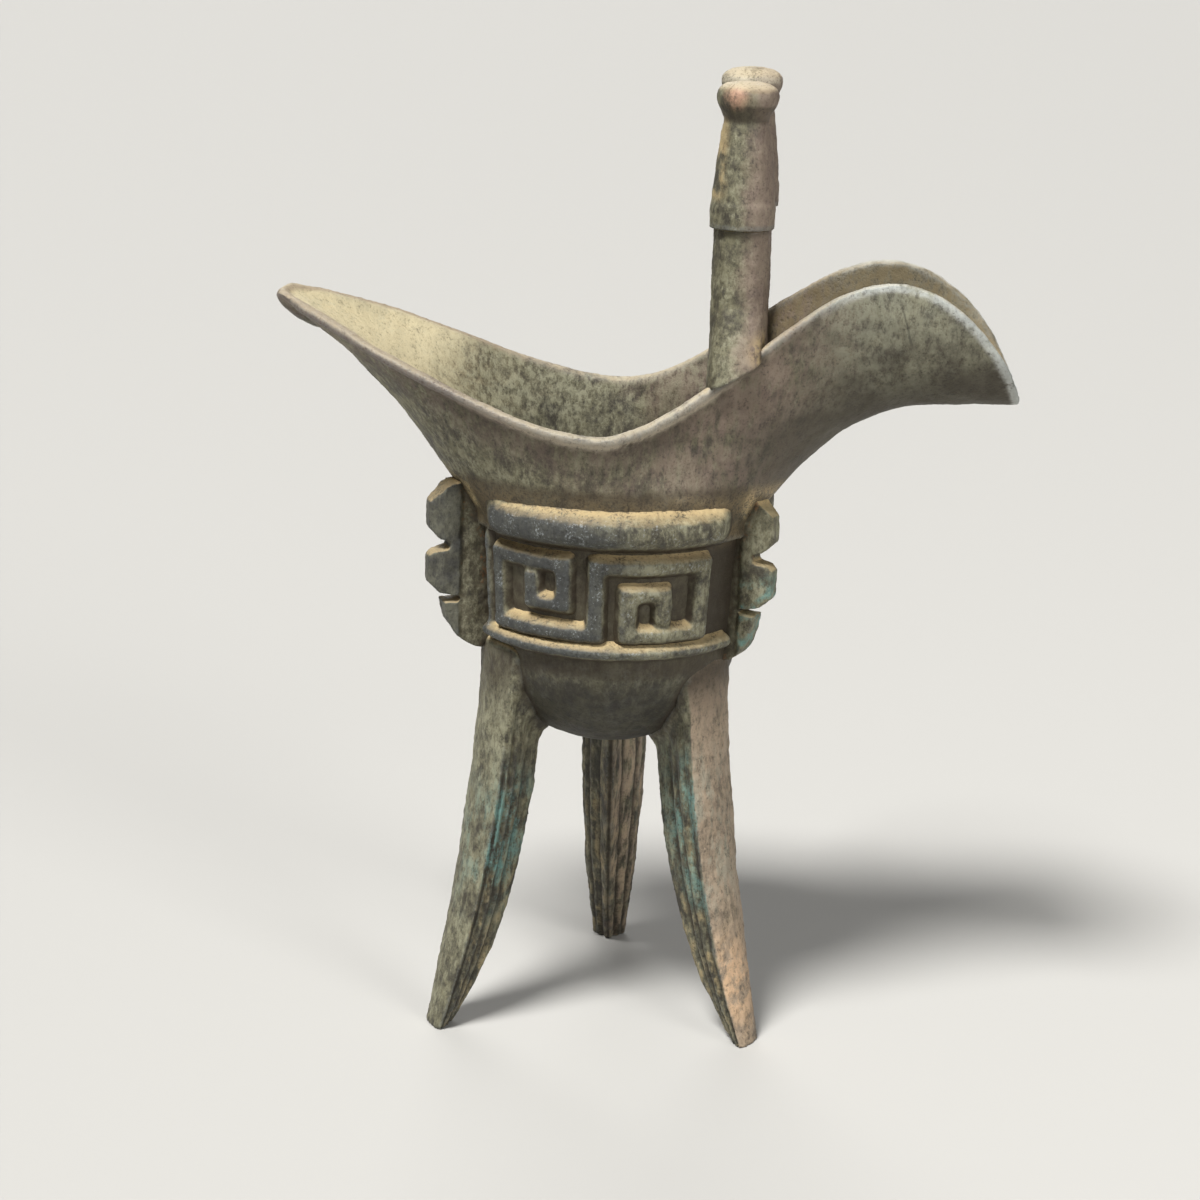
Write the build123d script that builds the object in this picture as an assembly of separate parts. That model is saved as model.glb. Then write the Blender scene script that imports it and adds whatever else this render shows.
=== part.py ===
from build123d import *
import math
import os

# A bronze jue: a three-legged pouring vessel with a spout, a tail, two posts and a strap handle.
# Millimetres. The origin is on the bowl's axis at floor level, +X towards the spout, +Z up.
# The front, with the wide decorated panel, faces -Y. The handle is on the +Y side.

# Bowl and decorated band, from the floor up
BOWL_CLEARANCE = 49.5
BOWL_DEPTH = 19.8
BAND_HEIGHT = 19.0
COLLAR_HEIGHT = 2.2
BAND_FOOT_R = 21.8
BAND_FLARE = 1.4
COLLAR_STEP = 2.0
NECK_SETBACK = 0.7
NECK_STEP = 0.2
WALL = 1.9

# Mouth: heights are above the neck, reaches are from the axis
RIM_RISE = 16.7
RIM_LOW_X = -2.0
SIDE_FLARE = 3.4
SIDE_FLARE_POWER = 1.4
TAIL_REACH = 57.7
TAIL_KEEL_RISE = 33.2
TAIL_TIP_RISE = 34.6
TAIL_SLOPE = 0.74
TAIL_CURL_POWER = 4
TAIL_POINT = 0.5
TAIL_POINT_RUN = 8.0
TAIL_POINT_LEAD = 6.0
TAIL_RIM_HANDLES = (0.28, 0.21, 0.25)
SPOUT_REACH = 66.8
SPOUT_KEEL_RISE = 20.4
SPOUT_CREST_X = 45.0
SPOUT_CREST_RISE = 41.5
SPOUT_HALF_WIDTH = 14.5
SPOUT_ROOT_HALF_WIDTH = 20.0
SPOUT_WIDENING = 20.0
SPOUT_PARALLEL = 5.0
SPOUT_LIP_HANDLES = (0.5, 0.35)
TROUGH_POWER = 2.2
KEEL_POWER = 3.5
KEEL_RUNOUT = 4.0
SHOULDER_SLOPE = 0.5
SHOULDER_TUCK = 0.85
SHOULDER_BLEND = 8.0
SHOULDER_BLEND_SLOPE = 0.6

# Legs: angle round the vessel, radius of the leg's outer face at its top, and depth there
LEG_TOP_R = 21.5
LEG_TOP_DEPTH = 9.6
SPOUT_LEG_TOP_R = 20.3
SPOUT_LEG_TOP_DEPTH = 11.0
LEGS = {
    "rear": (90.0, LEG_TOP_R, LEG_TOP_DEPTH),
    "tail_side": (210.0, LEG_TOP_R, LEG_TOP_DEPTH),
    "spout_side": (330.0, SPOUT_LEG_TOP_R, SPOUT_LEG_TOP_DEPTH),
}
LEG_TOP_DROP = 1.7
LEG_FOOT_R = 31.6
LEG_TOP_WIDTH = 12.2
LEG_FOOT_WIDTH = 6.2
LEG_FOOT_DEPTH = 3.8
LEG_CURVE = 1.78
LEG_WIDTH_TAPER = 3
LEG_DEPTH_TAPER = 5
LEG_PLATE_EDGE = 1.5
LEG_PLATE_BULGE = 1.3
LEG_GROOVE = 1.3
LEG_STEP_DEPTH = 0.45
LEG_STEP_WIDTHS = (0.62, 0.46)
LEG_LEVELS = (0, 0.12, 0.3, 0.55, 0.8, 1)

# Posts and their caps: the post's height is above the rim, the cap's heights above its foot
POST_X = 19.5
POST_R = 4.4
POST_SETBACK = 0.8
POST_HEIGHT = 22.2
POST_PLUG = 7.0
SPIGOT_R = 3.0
SPIGOT_HEIGHT = 10.0
CAP_COLLAR_R = 5.1
CAP_COLLAR_HEIGHT = 4.4
CAP_NECK_R = 3.55
CAP_NECK_RISE = 15.9
CAP_KNOB_R = 4.9
CAP_KNOB_RISE = 19.6
CAP_HEIGHT = 22.3
CAP_KNOB_HANDLES = (0.3, 0.4)

# Neck mouldings, base mouldings and frieze relief
MOULDING_HEIGHT = 6.1
MOULDING_PROUD = 2.1
MOULDING_ROUND = 2.0
LEDGE_HEIGHT = 2.3
LEDGE_PROUD = 2.4
RELIEF = 1.9
STRIP_WIDTH = 2.6
SPIRAL_MID_RISE = 10.05
SPIRAL_RISE = 5.9
SPIRAL_INNER_RISE = 1.2
SPIRAL_TAIL = 2.8
SPIRAL_COLUMNS = (1.0, 0.61, 0.29)
BORDER_RIB_WIDTH = 1.3

# Toothed flanges: angle round the vessel, and how far the teeth stand out from the axis
TAIL_FLANGE_R = 32.6
SPOUT_FLANGE_R = 29.4
FLANGES = {"tail_side": (200.0, TAIL_FLANGE_R), "spout_side": (340.0, SPOUT_FLANGE_R)}
FLANGE_THICKNESS = 4.6
FLANGE_TOP_RISE = 6.8
FLANGE_UPPER_PITCH = 10.9
FLANGE_LOWER_PITCH = 9.3
FLANGE_SLIT = 0.9
FLANGE_NOTCH = 3.6
FLANGE_BEVEL = 1.9
FLANGE_TOP_BEVEL = 2.8
FLANGE_TOE_PROUD = 0.9
FLANGE_TOE_DROP = 1.4

# Handle: its top is below the collar, its foot above the foot of the band
HANDLE_ANGLE = 90.0
HANDLE_WIDTH = 8.0
HANDLE_THICKNESS = 3.2
HANDLE_TOP_DROP = 2.1
HANDLE_FOOT_RISE = 3.1
HANDLE_STANDOFF = 15.7
HANDLE_BEND = 5.0

# Panels round the vessel: gaps in millimetres, angles in degrees, and where the border rib
# stands between the flange and the spirals
LEDGE_CLEAR = 0.75
MOULDING_CLEAR = 4.8
HANDLE_CLEAR = 1.3
FRONT_SPIRAL_ANGLE = 267.0
FRONT_SPIRAL_SPAN = 45.0
REAR_SPIRAL_SPAN = 31.0
BORDER_RIB_SHARE = 0.5544

# Fineness of the mouth's surface
RIB_COUNT = 31
RING_COUNT = 24
RIB_SAMPLES = 160
HALVINGS = 40
OVERSHOOT = 2.0
BEYOND = 60.0

BAND_FOOT_Z = BOWL_CLEARANCE + BOWL_DEPTH
COLLAR_FOOT_Z = BAND_FOOT_Z + BAND_HEIGHT
NECK_Z = COLLAR_FOOT_Z + COLLAR_HEIGHT
RIM_LOW_Z = NECK_Z + RIM_RISE
TAIL_KEEL_Z = NECK_Z + TAIL_KEEL_RISE
TAIL_TIP_Z = NECK_Z + TAIL_TIP_RISE
SPOUT_KEEL_Z = NECK_Z + SPOUT_KEEL_RISE
SPOUT_CREST_Z = NECK_Z + SPOUT_CREST_RISE
MOUTH_TOP_Z = SPOUT_CREST_Z + OVERSHOOT
LEG_TOP_Z = BAND_FOOT_Z - LEG_TOP_DROP
BAND_TOP_R = BAND_FOOT_R + BAND_FLARE
COLLAR_R = BAND_TOP_R + COLLAR_STEP
NECK_R = COLLAR_R - NECK_SETBACK
SEAT_R = BAND_FOOT_R - WALL / 2
TAIL_LEAN = math.hypot(1, TAIL_SLOPE)
CIRCLE_HANDLE = 4 / 3 * math.tan(math.pi / 8)


def smooth_step(t):
    t = min(max(t, 0.0), 1.0)
    return t * t * (3 - 2 * t)


def along(p, q, t):
    return tuple(a + (b - a) * t for a, b in zip(p, q))


def side(x, z):
    return (x, 0, z)


def quarter_round(start, corner, end):
    """A quarter ellipse from start to end, tangent to the two lines that meet at the corner."""
    return Bezier(start, along(start, corner, CIRCLE_HANDLE), along(end, corner, CIRCLE_HANDLE), end)


def outline_face(*lines):
    """A face bounded by lines that follow each other."""
    return Face(Wire([edge for line in lines for edge in line.edges()]))


def turn(shape, degrees):
    return shape.rotate(Axis.Z, degrees)


def half_angle(half_width):
    """Angle that a half width takes up at the foot of the band."""
    return math.degrees(math.asin(half_width / BAND_FOOT_R))


def ground_radius(z):
    """Radius of the band's plain ground at a height."""
    return BAND_FOOT_R + BAND_FLARE * (z - BAND_FOOT_Z) / BAND_HEIGHT


# Mouth surface

def oval_radius(angle, along_x, along_y, power):
    """Polar radius of a superellipse."""
    c = abs(math.cos(angle)) / along_x
    s = abs(math.sin(angle)) / along_y
    return (c**power + s**power) ** (-1 / power)


def keel_height(x, inset):
    """Height of the spout's underside: steep at the neck, level at the lip, rising again beyond it."""
    root = NECK_R - inset
    lift = SPOUT_KEEL_RISE + inset
    share = (x - root) / (SPOUT_REACH - root)
    if share < 0:
        return NECK_Z + KEEL_POWER * lift * share
    beyond_lip = max(x - SPOUT_REACH, 0.0)
    return NECK_Z + lift * (1 - max(1 - share, 0.0) ** KEEL_POWER) + beyond_lip**2 / KEEL_RUNOUT


def trough_height(x, y, inset):
    """Height of the spout's U-shaped trough over a point of the plan."""
    widening = smooth_step((SPOUT_CREST_X - SPOUT_PARALLEL - x) / SPOUT_WIDENING)
    half = SPOUT_HALF_WIDTH + (SPOUT_ROOT_HALF_WIDTH - SPOUT_HALF_WIDTH) * widening - inset
    across = abs(y) / half
    if across >= 1:
        return math.inf
    keel = keel_height(x, inset)
    return keel + (SPOUT_CREST_Z - keel) * (1 - (1 - across**TROUGH_POWER) ** (1 / TROUGH_POWER))


def halve(low, high, is_low):
    """The place between two limits where a test stops being true."""
    for _ in range(HALVINGS):
        middle = (low + high) / 2
        if is_low(middle):
            low = middle
        else:
            high = middle
    return low


def trough_radius(angle, z, inset):
    """How far out the trough reaches at a height."""
    c, s = math.cos(angle), math.sin(angle)
    return halve(0.0, SPOUT_REACH + BEYOND, lambda r: trough_height(r * c, r * s, inset) < z)


def mouth_radius(angle, z, inset):
    """Polar radius of the mouth at a height. Angle 0 is the spout, pi is the tail."""
    rise = z - NECK_Z
    share = rise / RIM_RISE
    flare = share**SIDE_FLARE_POWER if share < 1 else 1 + SIDE_FLARE_POWER * (share - 1)
    across = NECK_R + SIDE_FLARE * flare - inset
    if angle > math.pi / 2:
        curl = TAIL_REACH - NECK_R - TAIL_SLOPE * TAIL_KEEL_RISE
        length = NECK_R + TAIL_SLOPE * rise + curl * (rise / TAIL_KEEL_RISE) ** TAIL_CURL_POWER
        point = TAIL_POINT * smooth_step((z - TAIL_KEEL_Z + TAIL_POINT_LEAD) / TAIL_POINT_RUN)
        return oval_radius(angle, length - TAIL_LEAN * inset, across, 2 - point)
    power = 2 - SHOULDER_TUCK * smooth_step(share)
    body = oval_radius(angle, NECK_R + SHOULDER_SLOPE * rise - inset, across, power)
    trough = trough_radius(angle, z, inset)
    blend = min(SHOULDER_BLEND, SHOULDER_BLEND_SLOPE * rise) + 1e-6
    overlap = max(blend - abs(body - trough), 0.0)
    return max(body, trough) + overlap * overlap / (4 * blend)


def mouth_rib(angle, inset):
    """Points up the mouth's surface at one angle, evenly spaced along it."""
    heights = [NECK_Z + (MOUTH_TOP_Z - NECK_Z) * i / RIB_SAMPLES for i in range(RIB_SAMPLES + 1)]
    dense = [(mouth_radius(angle, z, inset), z) for z in heights]
    run = [0.0]
    for (r0, z0), (r1, z1) in zip(dense, dense[1:]):
        run.append(run[-1] + math.hypot(r1 - r0, z1 - z0))
    points = []
    i = 0
    for k in range(RING_COUNT):
        goal = run[-1] * k / (RING_COUNT - 1)
        while i < RIB_SAMPLES - 1 and run[i + 1] < goal:
            i += 1
        t = (goal - run[i]) / (run[i + 1] - run[i])
        r, z = along(dense[i], dense[i + 1], min(t, 1.0))
        y = -r * math.sin(angle) if 0 < angle < math.pi else 0.0
        points.append((r * math.cos(angle), y, z))
    return points


def mouth_volume(inset):
    """The mouth as a filled solid, from the neck to above the rim, lofted through closed rings."""
    angles = [math.pi * (k / (RIB_COUNT - 1)) ** 2 for k in range(RIB_COUNT)]
    ribs = [mouth_rib(angle, inset) for angle in angles]
    rings = []
    for level in range(RING_COUNT):
        front = [rib[level] for rib in ribs]
        ring = front + [(x, -y, z) for x, y, z in reversed(front[1:-1])]
        shares = [k / len(ring) for k in range(len(ring) + 1)]
        rings.append(Wire([Edge.make_spline(ring, periodic=True, parameters=shares)]))
    return Solid.make_loft(rings)


def rim_block():
    """Everything below the rim line, as seen from the side."""
    low = side(RIM_LOW_X, RIM_LOW_Z)
    crest = side(SPOUT_CREST_X, SPOUT_CREST_Z)
    lip = side(SPOUT_REACH, SPOUT_KEEL_Z - OVERSHOOT)
    tip = side(-TAIL_REACH, TAIL_TIP_Z)
    tail_run = TAIL_REACH + RIM_LOW_X
    tail_drop = TAIL_TIP_Z - RIM_LOW_Z
    tip_out, tip_down, low_out = TAIL_RIM_HANDLES
    tail_line = Bezier(
        tip,
        side(-TAIL_REACH + tip_out * tail_run, TAIL_TIP_Z - tip_down * tail_drop),
        side(RIM_LOW_X - low_out * tail_run, RIM_LOW_Z),
        low,
    )
    spout_third = (SPOUT_CREST_X - RIM_LOW_X) / 3
    spout_line = Bezier(
        low,
        side(RIM_LOW_X + spout_third, RIM_LOW_Z),
        side(SPOUT_CREST_X - spout_third, SPOUT_CREST_Z),
        crest,
    )
    crest_share, lip_share = SPOUT_LIP_HANDLES
    lip_corner = side(SPOUT_REACH, SPOUT_CREST_Z)
    lip_line = Bezier(crest, along(crest, lip_corner, crest_share), along(lip, lip_corner, lip_share), lip)
    under = Polyline(lip, side(SPOUT_REACH, 0), side(-TAIL_REACH, 0), tip)
    outline = outline_face(tail_line, spout_line, lip_line, under)
    return extrude(outline, BEYOND, dir=(0, 1, 0), both=True)


# Bowl

def bowl_volume(inset, shoulder):
    """The filled bowl as a turned solid. The shoulder is its line from the band up to the neck."""
    bottom_z = BOWL_CLEARANCE + inset
    foot_r = BAND_FOOT_R - inset
    round_bottom = quarter_round(side(0, bottom_z), side(foot_r, bottom_z), side(foot_r, BAND_FOOT_Z))
    wall = Polyline(
        side(foot_r, BAND_FOOT_Z),
        side(BAND_TOP_R - inset, COLLAR_FOOT_Z),
        *shoulder,
        side(0, NECK_Z),
        side(0, bottom_z),
    )
    return revolve(outline_face(round_bottom, wall), Axis.Z)


inner_mouth = mouth_volume(WALL)
below_rim = rim_block()
outer_bowl = bowl_volume(0, [side(COLLAR_R, COLLAR_FOOT_Z), side(COLLAR_R, NECK_Z)])
inner_bowl = bowl_volume(WALL, [side(NECK_R - WALL * TAIL_LEAN - NECK_STEP, NECK_Z)])
outer_body = outer_bowl + (mouth_volume(0) & below_rim)
cup_body = outer_body - inner_bowl - inner_mouth


# Legs

def leg_section(z, top_r, top_depth):
    """Outline of a leg at a height, its outer face towards +X."""
    share = 1 - z / LEG_TOP_Z
    width = LEG_TOP_WIDTH - (LEG_TOP_WIDTH - LEG_FOOT_WIDTH) * share**LEG_WIDTH_TAPER
    depth = top_depth - (top_depth - LEG_FOOT_DEPTH) * share**LEG_DEPTH_TAPER
    outer = top_r + (LEG_FOOT_R - top_r) * share**LEG_CURVE
    slim = width / LEG_TOP_WIDTH
    half = width / 2
    groove = LEG_GROOVE * slim
    ridge = outer - LEG_PLATE_EDGE * slim
    inner = outer - depth
    step = ridge + (inner - ridge) * LEG_STEP_DEPTH
    wide, narrow = LEG_STEP_WIDTHS
    flank = [
        (outer, half),
        (ridge, half),
        (ridge - groove / 2, half - groove),
        (ridge - groove, half - groove / 2),
        (step, half * wide),
        (step - groove / 4, half * narrow),
        (inner, groove / 2),
    ]
    mirrored = [(x, -y) for x, y in reversed(flank)]
    face_arc = ThreePointArc(mirrored[-1], (outer + LEG_PLATE_BULGE * slim, 0), flank[0])
    return Pos(0, 0, z) * Wire([face_arc] + list(Polyline(*flank, *mirrored).edges()))


def leg(angle, top_r, top_depth):
    sections = [leg_section(LEG_TOP_Z * level, top_r, top_depth) for level in LEG_LEVELS]
    return turn(Solid.make_loft(sections), angle) - outer_body


# Posts and caps

def rim_height(x):
    """Height of the rim between its lowest point and the spout's crest."""
    share = (x - RIM_LOW_X) / (SPOUT_CREST_X - RIM_LOW_X)
    return RIM_LOW_Z + (SPOUT_CREST_Z - RIM_LOW_Z) * smooth_step(share)


def rim_half_width(x):
    """Distance of the rim's outer edge from the middle plane."""
    z = rim_height(x)
    angle = halve(0.0, math.pi / 2, lambda a: mouth_radius(a, z, 0) * math.cos(a) > x)
    return x * math.tan(angle)


POST_Y = rim_half_width(POST_X) - POST_SETBACK - POST_R
POST_RIM_Z = rim_height(POST_X)
CAP_FOOT_Z = POST_RIM_Z + POST_HEIGHT


def upright(radius, foot_z, top_z):
    """A cylinder on the rear post's axis."""
    return Pos(POST_X, POST_Y, foot_z) * Solid.make_cylinder(radius, top_z - foot_z)


def post_spigot():
    return upright(SPIGOT_R, CAP_FOOT_Z, CAP_FOOT_Z + SPIGOT_HEIGHT)


def rear_post():
    """A round shaft that saddles the rim, with a plug inside the cup and a spigot for its cap."""
    shaft = upright(POST_R, POST_RIM_Z - POST_PLUG, CAP_FOOT_Z) + post_spigot()
    return shaft - (below_rim - inner_mouth)


def rear_post_cap():
    """A bottle-shaped cap with a domed knob, turned, with a socket over the spigot."""
    knob_z = CAP_KNOB_RISE
    neck_handle, knob_handle = CAP_KNOB_HANDLES
    neck_to_knob = CAP_KNOB_RISE - CAP_NECK_RISE
    skirt = Polyline(
        side(0, 0),
        side(CAP_COLLAR_R, 0),
        side(CAP_COLLAR_R, CAP_COLLAR_HEIGHT),
        side(CAP_NECK_R, CAP_NECK_RISE),
    )
    swell = Bezier(
        side(CAP_NECK_R, CAP_NECK_RISE),
        side(CAP_NECK_R, CAP_NECK_RISE + neck_handle * neck_to_knob),
        side(CAP_KNOB_R, knob_z - knob_handle * neck_to_knob),
        side(CAP_KNOB_R, knob_z),
    )
    dome = quarter_round(side(CAP_KNOB_R, knob_z), side(CAP_KNOB_R, CAP_HEIGHT), side(0, CAP_HEIGHT))
    axis_line = Line(side(0, CAP_HEIGHT), side(0, 0))
    turned = revolve(outline_face(skirt, swell, dome, axis_line), Axis.Z)
    return Pos(POST_X, POST_Y, CAP_FOOT_Z) * turned - post_spigot()


# Band: mouldings and frieze

def raised_bar(low_z, high_z, start, end, proud):
    """A bar that follows the band's ground from one angle to another and stands proud of it."""
    outline = Polyline(
        side(SEAT_R, low_z),
        side(ground_radius(low_z) + proud, low_z),
        side(ground_radius(high_z) + proud, high_z),
        side(SEAT_R, high_z),
        close=True,
    )
    return turn(revolve(outline_face(outline), Axis.Z, end - start), start)


def neck_moulding(start, end):
    """A thick bar with rounded edges round the collar."""
    outer = COLLAR_R + MOULDING_PROUD
    flat = outer - MOULDING_ROUND
    foot_z = COLLAR_FOOT_Z
    top_z = COLLAR_FOOT_Z + MOULDING_HEIGHT
    lower = quarter_round(side(flat, foot_z), side(outer, foot_z), side(outer, foot_z + MOULDING_ROUND))
    upper = quarter_round(side(outer, top_z - MOULDING_ROUND), side(outer, top_z), side(flat, top_z))
    back = Polyline(upper @ 1, side(SEAT_R, top_z), side(SEAT_R, foot_z), lower @ 0)
    bar = revolve(outline_face(lower, Line(lower @ 1, upper @ 0), upper, back), Axis.Z, end - start)
    return turn(bar, start) - outer_body


def spiral_corners(middle, span):
    """Centre line of a linked pair of squared spirals, as angle and height."""
    outer, stub, inner = [span * column for column in SPIRAL_COLUMNS]
    half = [
        (-stub, SPIRAL_TAIL),
        (-stub, -SPIRAL_INNER_RISE),
        (-inner, -SPIRAL_INNER_RISE),
        (-inner, SPIRAL_RISE),
        (-outer, SPIRAL_RISE),
        (-outer, -SPIRAL_RISE),
        (0, -SPIRAL_RISE),
    ]
    turned = [(-a, -z) for a, z in reversed(half)]
    middle_z = BAND_FOOT_Z + SPIRAL_MID_RISE
    return [(middle + a, middle_z + z) for a, z in half + turned]


def frieze(middle, span):
    """The spirals as raised strips, one bar for each straight run."""
    corners = spiral_corners(middle, span)
    half = STRIP_WIDTH / 2
    spread = half_angle(half)
    bars = []
    for (a0, z0), (a1, z1) in zip(corners, corners[1:]):
        low_z, high_z = min(z0, z1) - half, max(z0, z1) + half
        bars.append(raised_bar(low_z, high_z, min(a0, a1) - spread, max(a0, a1) + spread, RELIEF))
    return bars[0].fuse(*bars[1:]) - outer_body


def base_moulding(start, end):
    return raised_bar(BAND_FOOT_Z, BAND_FOOT_Z + LEDGE_HEIGHT, start, end, LEDGE_PROUD) - outer_body


def border_rib(middle):
    """A thin upright rib from the ledge to the neck moulding."""
    spread = half_angle(BORDER_RIB_WIDTH / 2)
    return raised_bar(BAND_FOOT_Z, COLLAR_FOOT_Z, middle - spread, middle + spread, RELIEF) - outer_body


# Flanges

def flange(angle, tooth_r):
    """An upright plate with two bevelled teeth and a rounded lower one."""
    first_z = COLLAR_FOOT_Z + FLANGE_TOP_RISE
    second_z = first_z - FLANGE_UPPER_PITCH
    third_z = second_z - FLANGE_LOWER_PITCH
    bevel = FLANGE_BEVEL
    notch_r = tooth_r - FLANGE_NOTCH
    deep_r = notch_r - bevel
    toe_r = notch_r + FLANGE_TOE_PROUD
    toe_z = LEG_TOP_Z - FLANGE_TOE_DROP
    teeth = Polyline(
        side(SEAT_R, first_z),
        side(tooth_r - FLANGE_TOP_BEVEL, first_z),
        side(tooth_r, first_z - FLANGE_TOP_BEVEL),
        side(tooth_r, second_z + FLANGE_SLIT + bevel),
        side(tooth_r - bevel, second_z + FLANGE_SLIT),
        side(notch_r, second_z + FLANGE_SLIT),
        side(notch_r, second_z),
        side(tooth_r - bevel / 2, second_z),
        side(tooth_r, second_z - bevel / 2),
        side(tooth_r, third_z + FLANGE_SLIT + bevel),
        side(tooth_r - bevel, third_z + FLANGE_SLIT),
        side(deep_r, third_z + FLANGE_SLIT),
        side(deep_r, third_z),
        side(toe_r, third_z),
    )
    toe = quarter_round(side(toe_r, third_z), side(toe_r, toe_z), side(SEAT_R, toe_z))
    back = Line(side(SEAT_R, toe_z), side(SEAT_R, first_z))
    plate = extrude(outline_face(teeth, toe, back), FLANGE_THICKNESS / 2, dir=(0, 1, 0), both=True)
    return turn(plate, angle) - outer_body


# Handle

def handle():
    """A strap bent into a loop, its two ends seated on the band."""
    top_z = COLLAR_FOOT_Z - HANDLE_TOP_DROP
    foot_z = BAND_FOOT_Z + HANDLE_FOOT_RISE
    reach = BAND_FOOT_R + HANDLE_STANDOFF - HANDLE_THICKNESS / 2
    path = FilletPolyline(
        side(SEAT_R, top_z), side(reach, top_z), side(reach, foot_z), side(SEAT_R, foot_z), radius=HANDLE_BEND
    )
    start = Plane(origin=path @ 0, z_dir=path % 0, x_dir=(0, 1, 0))
    strap = sweep(start * Rectangle(HANDLE_WIDTH, HANDLE_THICKNESS), path)
    return turn(strap, HANDLE_ANGLE) - outer_body


# Ends of the panels between the flanges and the handle

tail_flange = FLANGES["tail_side"][0]
spout_flange = FLANGES["spout_side"][0]
ledge_gap = half_angle(FLANGE_THICKNESS / 2 + LEDGE_CLEAR)
moulding_gap = half_angle(FLANGE_THICKNESS / 2 + MOULDING_CLEAR)
handle_gap = half_angle(HANDLE_WIDTH / 2 + HANDLE_CLEAR)
front_ledge = base_moulding(tail_flange + ledge_gap, spout_flange - ledge_gap)
flange_side = tail_flange + half_angle(FLANGE_THICKNESS / 2)
spiral_end = FRONT_SPIRAL_ANGLE - FRONT_SPIRAL_SPAN - half_angle(STRIP_WIDTH / 2)
rib_angle = flange_side + BORDER_RIB_SHARE * (spiral_end - flange_side)

nodes = {
    "cup_body": cup_body,
    "front_post": mirror(rear_post(), Plane.XZ),
    "rear_post": rear_post(),
    "front_post_cap": mirror(rear_post_cap(), Plane.XZ),
    "rear_post_cap": rear_post_cap(),
    "front_neck_moulding": neck_moulding(tail_flange + moulding_gap, spout_flange - moulding_gap),
    "front_frieze": frieze(FRONT_SPIRAL_ANGLE, FRONT_SPIRAL_SPAN),
    "front_base_moulding": front_ledge + border_rib(rib_angle),
    "handle": handle(),
}
for place, (angle, top_r, top_depth) in LEGS.items():
    nodes[place + "_leg"] = leg(angle, top_r, top_depth)
for place, (angle, tooth_r) in FLANGES.items():
    nodes[place + "_flange"] = flange(angle, tooth_r) - nodes[place + "_leg"]
rear_panels = {
    "spout_side_rear": (
        (spout_flange - 360 + moulding_gap, HANDLE_ANGLE - handle_gap),
        (spout_flange - 360 + ledge_gap, HANDLE_ANGLE - handle_gap),
    ),
    "tail_side_rear": (
        (HANDLE_ANGLE + handle_gap, tail_flange - moulding_gap),
        (HANDLE_ANGLE + handle_gap, tail_flange - ledge_gap),
    ),
}
for place, (panel, ledge) in rear_panels.items():
    nodes[place + "_neck_moulding"] = neck_moulding(*panel)
    nodes[place + "_frieze"] = frieze(sum(panel) / 2, REAR_SPIRAL_SPAN)
    nodes[place + "_base_moulding"] = base_moulding(*ledge)

os.makedirs("parts", exist_ok=True)
for name, shape in nodes.items():
    export_step(shape, f"parts/{name}.step")
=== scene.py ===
import math
from types import SimpleNamespace

import bmesh
import bpy
import numpy as np
from mathutils import Matrix, Vector, noise
from mathutils.bvhtree import BVHTree


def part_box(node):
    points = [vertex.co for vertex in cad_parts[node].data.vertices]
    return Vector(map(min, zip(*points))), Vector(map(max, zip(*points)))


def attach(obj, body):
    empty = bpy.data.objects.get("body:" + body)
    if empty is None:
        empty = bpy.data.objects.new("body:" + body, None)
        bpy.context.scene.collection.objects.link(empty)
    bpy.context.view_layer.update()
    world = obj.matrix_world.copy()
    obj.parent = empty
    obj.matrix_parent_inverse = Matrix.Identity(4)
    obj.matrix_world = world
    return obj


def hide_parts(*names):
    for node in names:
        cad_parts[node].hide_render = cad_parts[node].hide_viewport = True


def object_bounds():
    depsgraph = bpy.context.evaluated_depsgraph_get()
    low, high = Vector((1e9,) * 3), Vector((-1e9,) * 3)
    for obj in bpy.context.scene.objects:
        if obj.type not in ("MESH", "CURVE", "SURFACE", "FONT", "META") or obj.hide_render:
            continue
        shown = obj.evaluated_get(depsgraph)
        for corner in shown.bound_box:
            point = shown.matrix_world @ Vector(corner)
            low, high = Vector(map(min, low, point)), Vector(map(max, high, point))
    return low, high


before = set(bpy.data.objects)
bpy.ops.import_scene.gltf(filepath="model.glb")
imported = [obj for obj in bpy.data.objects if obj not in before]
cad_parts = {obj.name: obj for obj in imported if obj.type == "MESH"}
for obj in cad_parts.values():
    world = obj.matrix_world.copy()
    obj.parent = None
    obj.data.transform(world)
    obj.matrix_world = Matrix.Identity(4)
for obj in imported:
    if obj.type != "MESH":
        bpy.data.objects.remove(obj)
cad_low, cad_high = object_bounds()

# The cup: bowl, neck and mouth cast in one piece of thin bronze, with a rolled lip that is rubbed pale, with
# painted highlights at the front and the spout's end. Its skin is pitted and a little uneven: olive on the
# tail side, pinkish brown under the front post and sage on the spout, with ochre earth left round the neck.
MM = 0.001
JOIN_GAP = 0.001 * MM
CUP_CELL = 0.46 * MM
CUP_SOFTENING = 2
CUP_TRIANGLES = 160000
CUP_SKIN = dict(swell=0.22 * MM, swell_length=10 * MM, pit=0.07 * MM, pit_length=1.5 * MM)
CUP_DUST = 0.45
SWELL_NOISE = (1.0, 2.0, 3)
PIT_NOISE = (0.8, 2.0, 2)
COLLAR_Z, NECK_Z = [corner.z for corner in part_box("front_neck_moulding")]
COLLAR_HEIGHT = 2.4 * MM
COLLAR_TUCK = 0.7 * MM
COLLAR_MARGIN = 0.1 * MM
RIM_BEND = math.radians(40)
LIP_R = 0.9 * MM
LIP_SPOUT_R = 0.6 * MM
LIP_THINS = (0.25 * cad_high.x, 0.6 * cad_high.x)
LIP_PROUD = 0.25 * MM
LIP_RISE = 0.2 * MM
LIP_NEAR = (0.9 * MM, 0.1 * MM)
UNDER_LIP_NEAR = (9 * MM, 1 * MM)
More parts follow.
